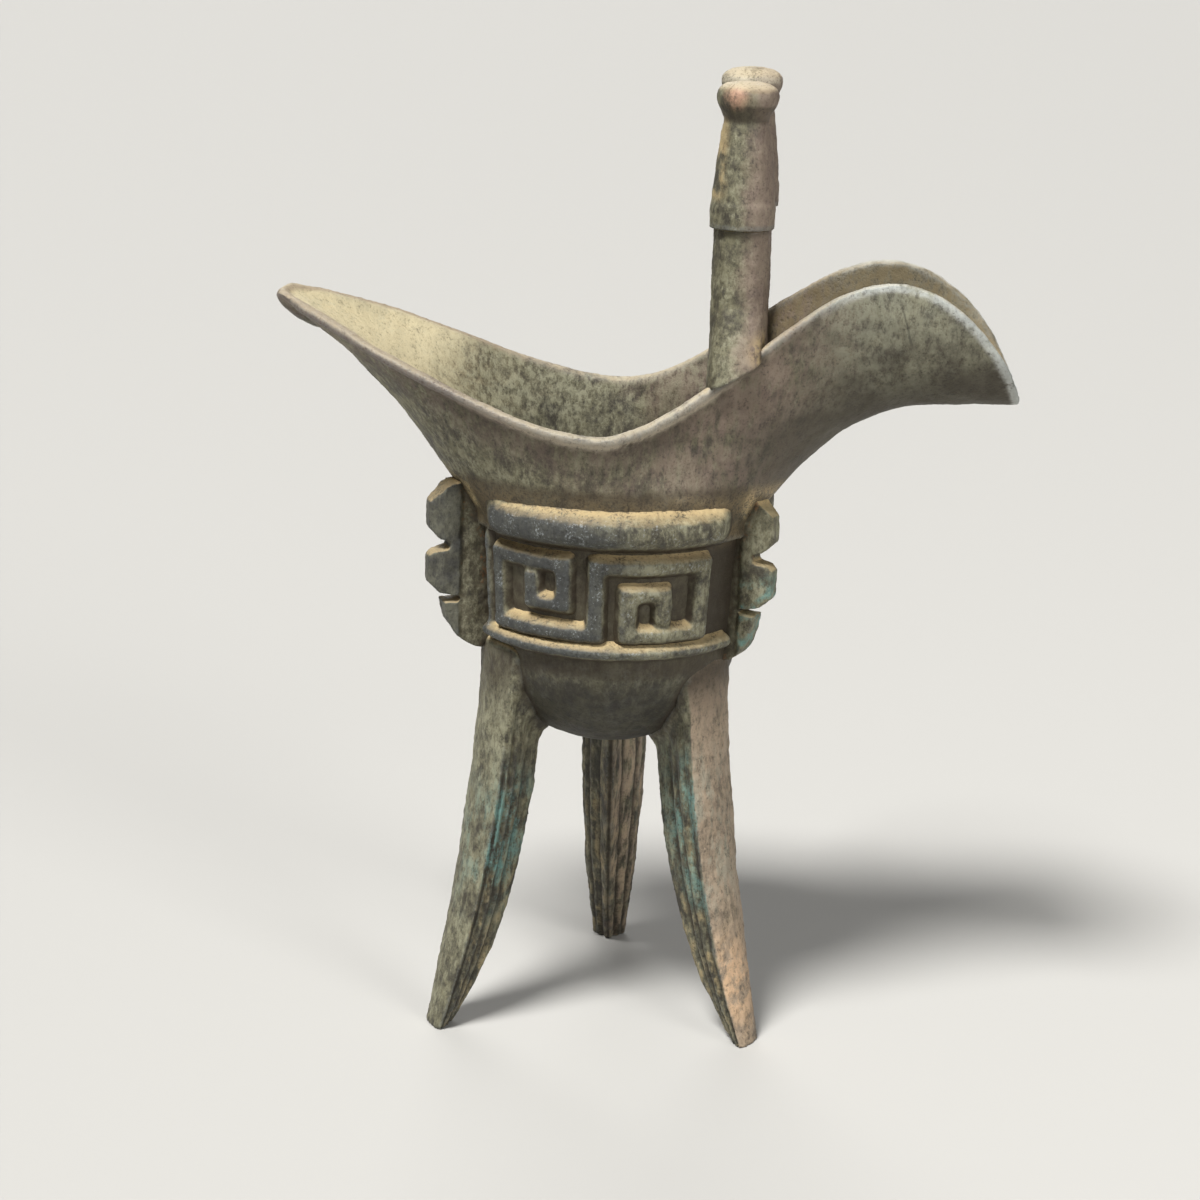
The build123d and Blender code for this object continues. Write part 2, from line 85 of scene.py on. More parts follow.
TIP_HALF = (5.5 * MM, 4.4 * MM, 1.5 * MM)
TIP_END = 2.0 * MM
TIP_SET = 0.8
TIP_DROP = 1.0 * MM
TIP_ROUNDS = 60
TIP_SOFTENING = 16
CHANNEL_DROP = 3.5 * MM


def cad_shape(node):
    """A node's mesh with its points joined."""
    shape = bmesh.new()
    shape.from_mesh(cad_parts[node].data)
    bmesh.ops.remove_doubles(shape, verts=shape.verts, dist=JOIN_GAP)
    return shape


def new_piece(name, data):
    piece = bpy.data.objects.new(name, data)
    bpy.context.scene.collection.objects.link(piece)
    return piece


def ready_mesh(piece):
    """The piece's mesh as its modifiers or its bevel leave it."""
    return bpy.data.meshes.new_from_object(piece.evaluated_get(bpy.context.evaluated_depsgraph_get()))


def casting(node, shape, cell, softening):
    """A new piece from a shape, with an even mesh of that cell size and softened edges."""
    mesh = bpy.data.meshes.new(node + "_shape")
    shape.to_mesh(mesh)
    shape.free()
    piece = new_piece(node + "_bronze", mesh)
    even = piece.modifiers.new("even_cells", "REMESH")
    even.mode = "VOXEL"
    even.voxel_size = cell
    soft = piece.modifiers.new("soft_edges", "SMOOTH")
    soft.factor = 0.5
    soft.iterations = softening
    piece.data = ready_mesh(piece)
    piece.modifiers.clear()
    return piece


def thin_out(piece, triangles):
    """Takes away points where the skin is smooth, down to about that many triangles."""
    fewer = piece.modifiers.new("fewer", "DECIMATE")
    fewer.ratio = min(1, triangles / (2 * len(piece.data.polygons)))
    piece.data = ready_mesh(piece)
    piece.modifiers.clear()


def points_of(piece):
    """The piece's points and their normals, one row each."""
    count = len(piece.data.vertices)
    points, normals = np.empty(count * 3), np.empty(count * 3)
    piece.data.vertices.foreach_get("co", points)
    piece.data.vertices.foreach_get("normal", normals)
    return points.reshape(-1, 3), normals.reshape(-1, 3)


def set_points(piece, points):
    piece.data.vertices.foreach_set("co", points.ravel())
    piece.data.update()


def ramp(values, low, high):
    """A smooth step from 0 at low to 1 at high, either way round."""
    t = np.clip((values - low) / (high - low), 0, 1)
    return t * t * (3 - 2 * t)


def calm_points(piece, rounds):
    """The piece's points, each drawn towards its neighbours that many times."""
    calm, _ = points_of(piece)
    edges = np.empty(len(piece.data.edges) * 2, np.int32)
    piece.data.edges.foreach_get("vertices", edges)
    a, b = edges.reshape(-1, 2).T
    count = len(calm)
    share = np.bincount(a, minlength=count) + np.bincount(b, minlength=count)
    for _ in range(rounds):
        around = [np.bincount(a, calm[b, k], count) + np.bincount(b, calm[a, k], count) for k in range(3)]
        calm = (calm + np.stack(around, 1) / share[:, None]) / 2
    return calm


def soften(piece, share, rounds):
    """Smooths the piece, each point by its share."""
    points, _ = points_of(piece)
    set_points(piece, points + (calm_points(piece, rounds) - points) * share[:, None])


def roughen(piece, swell, swell_length, pit, pit_length):
    """Moves the skin in and out: long shallow swells and short pits, as the mould left them."""
    points, normals = points_of(piece)
    swells = np.array([noise.fractal(Vector(p) / swell_length, *SWELL_NOISE) for p in points])
    pits = np.array([noise.fractal(Vector(p) / pit_length, *PIT_NOISE) for p in points])
    set_points(piece, points + normals * (swell * swells + pit * pits)[:, None])


def note(piece, name, values):
    """Keeps a value for each point of the piece, for its material to read."""
    attribute = piece.data.attributes.new(name, "FLOAT", "POINT")
    attribute.data.foreach_set("value", np.clip(values, 0, 1).astype(np.float32))


def tuck_collar(shape):
    """Draws in the collar that carries the neck mouldings, so that they cover it."""
    near = [v for v in shape.verts if COLLAR_Z - COLLAR_MARGIN < v.co.z < COLLAR_Z + COLLAR_HEIGHT]
    widest = max(v.co.xy.length for v in near)
    for point in near:
        if point.co.xy.length > widest - COLLAR_MARGIN:
            point.co.xy *= 1 - COLLAR_TUCK / widest


def rim_of(shape):
    """The mouth's outer edge, bit by bit from the tail's tip round: its place, the way in and the way up."""
    sharp = {}
    for edge in shape.edges:
        if len(edge.link_faces) == 2 and edge.calc_face_angle() > RIM_BEND:
            for point in edge.verts:
                sharp.setdefault(point, []).append(edge)
    tip = min((point for point in sharp if point.co.z > NECK_Z), key=lambda point: point.co.x)
    edges, ahead = set(), [tip]
    while ahead:
        for edge in sharp[ahead.pop()]:
            if edge not in edges:
                edges.add(edge)
                ahead.extend(edge.verts)
    rim = []
    for edge in edges:
        top = max(edge.link_faces, key=lambda face: face.normal.z)
        wall = min(edge.link_faces, key=lambda face: face.normal.z)
        start, end = [point.co for point in edge.verts]
        across = top.normal.cross(end - start).normalized()
        if across.dot(wall.normal) > 0:
            across.negate()
        rim.append(((start + end) / 2, across, top.normal.copy()))
    return sorted(rim, key=lambda bit: math.atan2(bit[0].y, bit[0].x))


def at_tip(x):
    """1 at the tail's tip, fading to 0 along it."""
    return ramp(x, cad_low.x + TIP_HALF[0], cad_low.x + TIP_END)


def rolled_lip(rim):
    """A bead all round the rim, thinner at the spout and evened out round the tail's tip."""
    places, inwards, ups = [np.array(column) for column in zip(*rim)]
    spout = ramp(places[:, :1], *LIP_THINS)
    radii = LIP_R + (LIP_SPOUT_R - LIP_R) * spout
    path = places + inwards * (radii - LIP_PROUD * (1 - spout)) - ups * (radii - LIP_RISE)
    tip = at_tip(places[:, :1])
    for _ in range(TIP_ROUNDS):
        path = path + tip * (np.roll(path, 1, 0) + np.roll(path, -1, 0) - 2 * path) / 4
    curve = bpy.data.curves.new("lip", "CURVE")
    curve.dimensions = "3D"
    curve.bevel_depth = 1.0
    curve.bevel_resolution = 4
    spline = curve.splines.new("POLY")
    spline.points.add(len(rim) - 1)
    spline.use_cyclic_u = True
    for bead, place, radius in zip(spline.points, path, radii):
        bead.radius = radius[0]
        bead.co = (*place, 1)
    lip = new_piece("lip", curve)
    mesh = ready_mesh(lip)
    bpy.data.objects.remove(lip)
    return mesh


def blunt_tip(shape, rim):
    """Fills the end of the tail's channel to a solid blunt tip."""
    ends = []
    for start in (cad_low.x, cad_low.x + 2 * TIP_HALF[0]):
        near = [place for place, _, _ in rim if start <= place.x < start + TIP_END]
        ends.append(sum(near, Vector()) / len(near))
    way = (ends[1] - Vector((0, 0, CHANNEL_DROP)) - ends[0]).normalized()
    middle = ends[0] + way * TIP_SET * TIP_HALF[0] - Vector((0, 0, TIP_DROP))
    turn = way.to_track_quat("X", "Z").to_matrix().to_4x4()
    place = Matrix.Translation(middle) @ turn @ Matrix.Diagonal((*TIP_HALF, 1))
    bmesh.ops.create_icosphere(shape, subdivisions=4, radius=1, matrix=place)


def note_lip(piece, lip_mesh):
    """Notes the lip itself, and how near below it the outside of the wall is."""
    points, normals = points_of(piece)
    lip = BVHTree.FromPolygons([v.co for v in lip_mesh.vertices], [f.vertices[:] for f in lip_mesh.polygons])
    gap = np.array([lip.find_nearest(Vector(p))[3] for p in points])
    outward = points[:, :2] / np.linalg.norm(points[:, :2], axis=1)[:, None]
    outer = (normals[:, :2] * outward).sum(1) - normals[:, 2]
    note(piece, "lip", ramp(gap, *LIP_NEAR))
    note(piece, "under_lip", ramp(gap, *UNDER_LIP_NEAR) * ramp(outer, 0, 0.5))


def paint(red, green, blue):
    """A colour in the usual 0 to 255 steps, as light."""
    steps = [channel / 255 for channel in (red, green, blue)]
    return tuple(s / 12.92 if s <= 0.04045 else ((s + 0.055) / 1.055) ** 2.4 for s in steps) + (1.0,)


class Flow:
    """A value on its way through a material. Sums on it add the nodes that work them out."""

    def __init__(self, tree, socket=None):
        self.tree = tree
        self.socket = socket

    def node(self, kind, settings, sockets, output=0):
        """Adds a node, with its settings first and then its inputs, and gives one of its outputs."""
        made = self.tree.nodes.new("ShaderNode" + kind)
        for name, value in settings.items():
            setattr(made, name, value)
        for key, value in sockets.items():
            if isinstance(value, Flow):
                self.tree.links.new(value.socket, made.inputs[key])
            else:
                made.inputs[key].default_value = value
        return Flow(self.tree, made.outputs[output])

    def math(self, operation, a, b):
        return self.node("Math", {"operation": operation}, {0: a, 1: b})

    def __add__(self, other):
        return self.math("ADD", self, other)

    def __sub__(self, other):
        return self.math("SUBTRACT", self, other)

    def __rsub__(self, other):
        return self.math("SUBTRACT", other, self)

    def __mul__(self, other):
        return self.math("MULTIPLY", self, other)

    __radd__ = __add__
    __rmul__ = __mul__

    def step(self, low, high):
        """A smooth step from 0 at low to 1 at high, either way round."""
        ends = {"From Min": min(low, high), "From Max": max(low, high)}
        out = {"To Min": float(low > high), "To Max": float(low < high)}
        return self.node("MapRange", {"interpolation_type": "SMOOTHSTEP"}, {"Value": self, **ends, **out})

    def between(self, low, high, soft):
        """1 from low to high, with soft ends."""
        return self.step(low - soft, low) * self.step(high + soft, high)

    def over(self, below, colour):
        """This mask's share of a colour laid over another."""
        settings = {"data_type": "RGBA", "clamp_factor": True}
        return self.node("Mix", settings, {0: self, 6: below, 7: colour}, 2)

    def clouds(self, length, detail, roughness=0.6, shift=0.0, stretch=(1, 1, 1)):
        """Cloudy noise on a place, with clouds about that long."""
        moved = self.node("VectorMath", {"operation": "MULTIPLY_ADD"}, {0: self, 1: stretch, 2: (shift,) * 3})
        sockets = {"Vector": moved, "Scale": 1 / length, "Detail": detail, "Roughness": roughness}
        return self.node("TexNoise", {}, sockets)

    def near(self, spot, reach):
        """1 at a spot, 0 at that reach from it."""
        gap = self.node("VectorMath", {"operation": "DISTANCE"}, {0: self, 1: spot}, "Value")
        return gap.step(reach, 0.25 * reach)

    def noted(self, name):
        """A value kept on the piece's points."""
        return self.node("Attribute", {"attribute_name": name}, {}, "Fac")


DARK = paint(68, 64, 53)
OLIVE = paint(114, 110, 87)
LICHEN = paint(152, 150, 126)
# GRIME_AND_SHADE and SOOT_AND_SHADE serve both as real dirt and as painted shade.
GRIME_AND_SHADE = paint(58, 49, 36)
SOOT_AND_SHADE = paint(36, 33, 28)
OCHRE = paint(196, 172, 126)
STEEL = paint(120, 125, 123)
SKIN_ROUGHNESS = 0.64
SKIN_METAL = 0.2
PIT_SPACING = 1.5
BUMP_STRENGTH = 0.7
BUMP_HEIGHT = 0.35 * MM


def bronze(name, own_colours, dusty):
    """Patinated bronze. own_colours lays a piece's colours over the common skin, with places and lengths in
    millimetres. dusty is how much dust lies on what faces up."""
    material = bpy.data.materials.new(name)
    material.use_nodes = True
    tree = material.node_tree
    shader = tree.nodes["Principled BSDF"]
    start = Flow(tree)
    metres = start.node("TexCoord", {}, {}, "Object")
    place = metres.node("VectorMath", {"operation": "SCALE"}, {0: metres, "Scale": 1 / MM})
    facing = start.node("NewGeometry", {}, {}, "Normal")
    up = facing.node("SeparateXYZ", {}, {0: facing}, 2)
    skin = SimpleNamespace(place=place, facing=facing, up=up)
    skin.x, skin.y, skin.z = [place.node("SeparateXYZ", {}, {0: place}, k) for k in range(3)]
    skin.wear = start.noted("wear")
    skin.dirt = start.noted("dirt")
    skin.drift = place.clouds(length=16.0, detail=3.0)
    skin.blot = place.clouds(length=6.5, detail=5.0, roughness=0.62, shift=7.0)
    skin.mottle = place.clouds(length=3.2, detail=6.0, roughness=0.68, shift=31.0)
    skin.grain = place.clouds(length=0.4, detail=3.0, roughness=0.7, shift=57.0)
    skin.streak = place.clouds(length=1.3, detail=4.0, roughness=0.65, shift=83.0, stretch=(1, 1, 0.16))
    skin.fleck = place.clouds(length=1.1, detail=5.0, roughness=0.75, shift=11.0, stretch=(1, 1, 0.55))
    skin.speckle = skin.mottle * 0.5 + skin.grain * 0.5
    skin.patch = skin.blot * 0.3 + skin.mottle * 0.35 + skin.fleck * 0.35
    pit = place.node("TexVoronoi", {}, {"Vector": place, "Scale": 1 / PIT_SPACING}).step(0.26, 0.08)
    pit = pit * skin.mottle.step(0.5, 0.58)
    colour = skin.patch.step(0.4, 0.56).over(DARK, OLIVE)
    colour = ((skin.blot * 0.4 + skin.fleck * 0.6).step(0.48, 0.62) * 0.6).over(colour, LICHEN)
    colour = own_colours(skin, colour)
    colour = ((skin.grain * 0.6 + skin.fleck * 0.4).step(0.49, 0.36) * 0.5).over(colour, SOOT_AND_SHADE)
    colour = (pit * 0.3).over(colour, SOOT_AND_SHADE)
    # Painted shade: corners, creases and joints darkened on faces not turned up, over the earth lodged there.
    colour = (skin.dirt * 0.8 * up.step(0.45, -0.05)).over(colour, GRIME_AND_SHADE)
    dust = (skin.dirt * 0.6 + 0.55) * up.step(0.3, 0.75) * skin.speckle.step(0.32, 0.52) * dusty
    colour = (dust * 0.9).over(colour, OCHRE)
    rubbed = skin.wear * (1 - dust) * skin.grain.step(0.32, 0.58)
    colour = (rubbed * 0.4).over(colour, STEEL)
    tree.links.new(colour.socket, shader.inputs["Base Color"])
    rough = SKIN_ROUGHNESS + dust * 0.3 - rubbed * 0.1 + (skin.mottle - 0.5) * 0.4
    tree.links.new(rough.socket, shader.inputs["Roughness"])
    metal = SKIN_METAL + rubbed * 0.15 - dust * 0.2
    tree.links.new(metal.socket, shader.inputs["Metallic"])
    height = skin.mottle * 0.4 + skin.grain * 0.35 + skin.fleck * 0.3 - pit * 0.25
    sockets = {"Height": height, "Strength": BUMP_STRENGTH, "Distance": BUMP_HEIGHT}
    bump = start.node("Bump", {}, sockets, "Normal")
    tree.links.new(bump.socket, shader.inputs["Normal"])
    return material


CREAM = paint(214, 203, 168)
PINK = paint(134, 115, 103)
PLUM = paint(110, 92, 85)
PALE = paint(192, 181, 160)
SAGE = paint(130, 130, 113)
EARTH = paint(112, 97, 68)
CHALK_HIGHLIGHT = paint(200, 203, 198)
WORN_SPOT = (54, -16, 122)


def cup_colours(skin, colour):
    """Pinkish brown where the spout begins, sage on it, plum under the tail's lip, cream in the tail."""
    lip, under = skin.place.noted("lip"), skin.place.noted("under_lip")
    spout = (skin.x + (skin.drift - 0.5) * 50).step(-12, 20) * skin.z.step(90, 100)
    spout = spout * (0.15 + skin.x.step(46, 24) * 0.85)
    colour = (spout * (skin.blot * 0.5 + skin.streak * 0.5).step(0.34, 0.56) * 0.75).over(colour, PINK)
    sage = skin.x.step(26, 42) * (0.3 + skin.fleck.step(0.4, 0.58) * 0.5)
    colour = sage.over(colour, SAGE)
    worn = skin.place.near(WORN_SPOT, 20) * (skin.blot * 0.5 + skin.fleck * 0.5).step(0.42, 0.58)
    colour = (worn * 0.5).over(colour, LICHEN)
    # Painted shade: the spout darker towards its lower edge.
    below = (skin.z - skin.x * 0.3 + (skin.patch - 0.5) * 16).step(106, 99) * skin.x.step(14, 30)
    colour = (below * 0.75).over(colour, DARK)
    far_wall = skin.y.step(0, 7) * skin.x.step(12, 22) * skin.z.step(110, 115)
    colour = (far_wall * (0.35 + skin.fleck.step(0.42, 0.56) * 0.45)).over(colour, EARTH)
    # Painted shade on the spout's underside, where it faces down.
    under_spout = skin.up.step(0.02, -0.4) * skin.x.step(20, 36) * (0.5 + skin.blot.step(0.6, 0.4) * 0.5)
    colour = (under_spout * 0.6).over(colour, GRIME_AND_SHADE)
    inner = skin.up.step(0.05, 0.4) * skin.z.step(96, 104) * skin.x.step(30, 15)
    colour = (inner * skin.fleck.step(0.4, 0.6) * 0.5).over(colour, LICHEN)
    colour = (under * skin.x.step(12, -8) * skin.streak.step(0.35, 0.6) * 0.6).over(colour, PLUM)
    # Painted shade in the band under the lip at the front.
    colour = (under * under * skin.x.between(-20, 8, 14) * 0.5).over(colour, GRIME_AND_SHADE)
    # Painted shade: the bowl darker towards its bottom.
    colour = (skin.z.step(72, 60) * 0.8).over(colour, SOOT_AND_SHADE)
    # Painted shadow in the recess between the band's end and the spout-side flange.
    beside_band = skin.x.step(13, 16.5) * skin.z.between(71, 87, 2) * skin.y.step(0, -6)
    colour = (beside_band * 0.75).over(colour, SOOT_AND_SHADE)
    tail = (skin.x + (skin.drift - 0.5) * 16).step(-24, -36) * skin.up.step(0.0, 0.35)
    colour = (tail * 0.8).over(colour, CREAM)
    level = skin.place.node("VectorMath", {"operation": "MULTIPLY"}, {0: skin.place, 1: (1, 1, 0)})
    outward = level.node("VectorMath", {"operation": "DOT_PRODUCT"}, {0: skin.facing, 1: level}, "Value")
    neck = skin.z.between(90, 94.5, 4) * skin.speckle.step(0.4, 0.58) * outward.step(0, 6)
    colour = (neck * 0.8).over(colour, OCHRE)
    crack = skin.x + skin.z * 0.34 + (skin.mottle - 0.5) * 1.2 - 89.4
    colour = ((crack * crack).step(0.05, 0.0) * skin.z.between(123, 127, 1.5) * 0.5).over(colour, SOOT_AND_SHADE)
    colour = (lip * skin.x.step(2, -20) * 0.7).over(colour, PLUM)
    # The lip is rubbed pale all round and paler at the front as a painted highlight; at the spout's end it
    # has a chalky painted highlight.
    rubbed_lip_and_sheen = lip * skin.mottle.step(0.3, 0.5)
    colour = (rubbed_lip_and_sheen * (0.1 + skin.x.between(-14, 14, 16) * 0.5)).over(colour, PALE)
    return (rubbed_lip_and_sheen * lip * skin.x.step(28, 44) * 0.7).over(colour, CHALK_HIGHLIGHT)


def dress(piece, node, material):
    """Puts a finished piece in the place of its node."""
    piece.data.polygons.foreach_set("use_smooth", [True] * len(piece.data.polygons))
    piece.data.materials.clear()
    piece.data.materials.append(material)
    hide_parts(node)
    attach(piece, "root")
    pieces.append(piece)


pieces = []
cup_shape = cad_shape("cup_body")
tuck_collar(cup_shape)
cup_surface = BVHTree.FromBMesh(cup_shape)
rim = rim_of(cup_shape)
lip_mesh = rolled_lip(rim)
cup_shape.from_mesh(lip_mesh)
blunt_tip(cup_shape, rim)
cup = casting("cup_body", cup_shape, CUP_CELL, CUP_SOFTENING)
soften(cup, at_tip(points_of(cup)[0][:, 0]), TIP_SOFTENING)
roughen(cup, **CUP_SKIN)
thin_out(cup, CUP_TRIANGLES)
note_lip(cup, lip_mesh)
dress(cup, "cup_body", bronze("cup_bronze", cup_colours, CUP_DUST))

# The decorated band: a half-round moulding, a pair of squared spirals and a ledge in relief on each panel,
# cast with the bowl. Their slopes are soft, their faces dark and rubbed, with ochre earth on every ledge.
RELIEF_CELL = 0.24 * MM
RELIEF_MARGIN = 3.0 * MM
RELIEF_LEAST = 0.1 * MM
RELIEF_BURY = 0.3 * MM
RELIEF_DEPTH = 1.1 * MM
OUTSIDE = 60 * MM
BAND_FORMS = {
    "neck_moulding": dict(softness_up=0.85 * MM, softness_round=2.2 * MM, skirt=0.35 * MM, slope=1.0),
    "frieze": dict(softness_up=0.5 * MM, softness_round=0.5 * MM, skirt=0.08 * MM, slope=0.6),
    "base_moulding": dict(softness_up=0.55 * MM, softness_round=0.55 * MM, skirt=0.15 * MM, slope=1.0),
}
BAND_SKIN = dict(swell=0.16 * MM, swell_length=5 * MM, pit=0.08 * MM, pit_length=1.1 * MM)
BAND_DUST = 0.75
SLATE = paint(60, 62, 62)
FROST = paint(164, 170, 172)


def blur(field, width, axis):
    """A field on a grid, smoothed along one axis over about that many cells."""
    reach = int(3 * width) + 1
    weights = np.exp(-0.5 * (np.arange(-reach, reach + 1) / width) ** 2)
    weights /= weights.sum()
    padded = np.pad(field, [(reach, reach) if k == axis else (0, 0) for k in range(2)], mode="edge")
    return np.apply_along_axis(np.convolve, axis, padded, weights, mode="valid")


def panel_grid(node):
    """The angles and heights of a grid that covers a panel, with a margin all round."""
    points = np.array([v.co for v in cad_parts[node].data.vertices])
    middle = math.atan2(points[:, 1].mean(), points[:, 0].mean())
    angles = (np.arctan2(points[:, 1], points[:, 0]) - middle + math.pi) % (2 * math.pi) - math.pi
    radius = np.hypot(points[:, 0], points[:, 1]).max()
    margin = RELIEF_MARGIN / radius
    across = np.arange(angles.min() - margin, angles.max() + margin, RELIEF_CELL / radius)
    z = points[:, 2]
    return middle + across, np.arange(z.min() - RELIEF_MARGIN, z.max() + RELIEF_MARGIN, RELIEF_CELL)


def wall_and_work(node, angles, heights):
    """How far out the cup's wall and the raised work on it stand, with 0 where there is no work."""
    shape = cad_shape(node)
    raised = BVHTree.FromBMesh(shape)
    shape.free()
    wall = np.empty((len(heights), len(angles)))
    work = np.zeros_like(wall)
    for i, z in enumerate(heights):
        for j, angle in enumerate(angles):
            way = Vector((math.cos(angle), math.sin(angle), 0))
            start = way * OUTSIDE + Vector((0, 0, z))
            wall[i, j] = OUTSIDE - cup_surface.ray_cast(start, -way)[3]
            met = raised.ray_cast(start, -way, OUTSIDE - wall[i, j] - RELIEF_LEAST)[3]
            if met is not None:
                work[i, j] = OUTSIDE - met
    return wall, work


def closed_sheet(name, front, back, angles, heights):
    """A closed mesh between two fields of radii on one grid."""
    grid = np.arange(front.size).reshape(front.shape)
    quads = [grid[:-1, :-1], grid[:-1, 1:], grid[1:, 1:], grid[1:, :-1]]
    front_faces = np.stack(quads, -1).reshape(-1, 4)
    back_faces = front_faces[:, ::-1] + grid.size
    border = np.concatenate([grid[0, :-1], grid[:-1, -1], grid[-1, :0:-1], grid[:0:-1, 0]])
    ahead = np.roll(border, -1)
    side_faces = np.stack([ahead, border, border + grid.size, ahead + grid.size], -1)
    z = np.broadcast_to(heights[:, None], grid.shape)
    points = [np.stack([r * np.cos(angles), r * np.sin(angles), z], -1) for r in (front, back)]
    faces = np.concatenate([front_faces, back_faces, side_faces])
    mesh = bpy.data.meshes.new(name)
    mesh.from_pydata(np.concatenate(points).reshape(-1, 3).tolist(), [], faces.tolist())
    mesh.update()
    return mesh


def relief(node, softness_up, softness_round, skirt, slope):
    """Raised work round the bowl. Its steps are softened and their low skirts cut off, and a slope below 1
    fills out the ridges."""
    angles, heights = panel_grid(node)
    wall, work = wall_and_work(node, angles, heights)
    base, face, there = wall, np.maximum(wall, work), (work > 0).astype(float)
    full = (face - base).max()
    for axis, softness in enumerate((softness_up, softness_round)):
        base, face, there = [blur(field, softness / RELIEF_CELL, axis) for field in (base, face, there)]
    lift = full * np.clip((face - base - skirt) / (full - skirt), 0, None) ** slope
    face = base + lift - RELIEF_BURY * (1 - there) ** 2
    mesh = closed_sheet(node + "_shape", face, wall - RELIEF_DEPTH, angles, heights)
    piece = new_piece(node + "_bronze", mesh)
    note(piece, "proud", np.concatenate([there.ravel(), there.ravel()]))
    return piece


def band_colours(skin, colour):
    """Slate faces with frosty specks on the tail side, olive ones on the spout side, brown floors in painted
    shade.
    """
    proud = skin.place.noted("proud")
    face = proud.step(0.55, 0.85)
    # Painted shade on the floors round the raised work.
    colour = (proud.step(0.65, 0.35) * (0.85 - skin.mottle.step(0.44, 0.6) * 0.5)).over(colour, GRIME_AND_SHADE)
    slate = face * (skin.x + (skin.drift - 0.5) * 20).step(9, -3)
    colour = (slate * 0.85).over(colour, SLATE)
    frost = face * (skin.mottle * 0.4 + skin.grain * 0.6).step(0.54, 0.66)
    return (frost * 0.6).over(colour, FROST)


band_bronze = bronze("band_bronze", band_colours, BAND_DUST)
for panel in ("front", "spout_side_rear", "tail_side_rear"):
    for part, form in BAND_FORMS.items():
        node = panel + "_" + part
        piece = relief(node, **form)
        roughen(piece, **BAND_SKIN)
        dress(piece, node, band_bronze)

# The flanges: upright plates beside the band, cast with the bowl. Each has two bevelled teeth and a rounded
# lower one, which stand out from the plate as blocks, with ochre earth and some verdigris on them.
FLANGE_CELL = 0.28 * MM
FLANGE_SOFTENING = 6
FLANGE_SKIN = dict(swell=0.24 * MM, swell_length=5 * MM, pit=0.1 * MM, pit_length=1.2 * MM)
FLANGE_DUST = 1.0
SEAT = 0.8 * MM
TOUCH = 0.05 * MM
TOOTH_LENGTH = 5.0 * MM
TOOTH_ROOT = 0.8 * MM
TOOTH_REACH = 0.6
TOOTH_TAPER = 0.17
TOOTH_LEVEL = 0.3 * MM
TOOTH_BEVEL = 2.4 * MM
BEVEL_DEPTH = 0.4
PLATE_THINNING = 0.2
TURQUOISE = paint(104, 150, 144)
RUST = paint(190, 128, 72)


def seated(node):
    """A node's shape with the points that touch the cup sunk into its wall, deeper at the tucked collar."""
    shape = cad_shape(node)
    for point in shape.verts:
        spot, normal, _, gap = cup_surface.find_nearest(point.co, COLLAR_TUCK + TOUCH)
        if spot is not None and (gap < TOUCH or abs(point.co.z - COLLAR_Z) < COLLAR_HEIGHT):
            point.co -= normal * (SEAT + gap)
    return shape


def block_teeth(piece):
    """Thins the plate between the teeth and the bowl, tapers the teeth and bevels their outer ends."""
    points, _ = points_of(piece)
    x, y = points[:, :2].mean(0)
    angle = math.atan2(y, x)
    turn = np.array([[math.cos(angle), -math.sin(angle)], [math.sin(angle), math.cos(angle)]])
    flat = points[:, :2] @ turn
    out, z = flat[:, 0], points[:, 2]
    end = out.max()
    root = end - TOOTH_LENGTH
    tooth = ramp(out, root - TOOTH_ROOT, root)
    level = ((z - z.min()) / TOOTH_LEVEL).astype(int)
    reach = np.zeros(level.max() + 1)
    np.maximum.at(reach, level, out)
    run = np.cumsum(np.diff(reach > end - TOOTH_REACH * TOOTH_LENGTH, prepend=False))
    for k in range(1, run.max() + 1, 2):
        ours = run[level] == k
        middle = (z[ours].max() + z[ours].min()) / 2
        z[ours] = middle + (z[ours] - middle) * (1 - TOOTH_TAPER * ramp(out[ours], root, end))
    bevel = np.clip((out - end + TOOTH_BEVEL) / TOOTH_BEVEL, 0, 1)
    flat[:, 1] *= (1 - PLATE_THINNING * (1 - tooth)) * (1 - BEVEL_DEPTH * bevel)
    points[:, :2] = flat @ turn.T
    set_points(piece, points)
    note(piece, "tooth", tooth)


def flange_colours(skin, colour):
    """Earthy brown plates, slate teeth on the tail side, green-grey ones with verdigris on the spout side."""
    tooth, spout = skin.place.noted("tooth"), skin.x.step(-10, 10)
    earth = (1 - tooth) * skin.speckle.step(0.4, 0.6)
    colour = (tooth * (1 - spout) * 0.6).over(colour, SLATE)
    colour = (earth * (1 - spout * 0.5) * 0.7).over(colour, GRIME_AND_SHADE)
    rust = (skin.mottle * 0.7 + skin.grain * 0.3).step(0.54, 0.62) * skin.dirt
    colour = (rust * 0.7).over(colour, RUST)
    green = tooth * spout * skin.z.step(84, 78) * (skin.drift * 0.4 + skin.mottle * 0.6).step(0.44, 0.56)
    return (green * 0.75).over(colour, TURQUOISE)


flange_bronze = bronze("flange_bronze", flange_colours, FLANGE_DUST)
for node in ("tail_side_flange", "spout_side_flange"):
    piece = casting(node, seated(node), FLANGE_CELL, FLANGE_SOFTENING)
    block_teeth(piece)
    roughen(piece, **FLANGE_SKIN)
    dress(piece, node, flange_bronze)

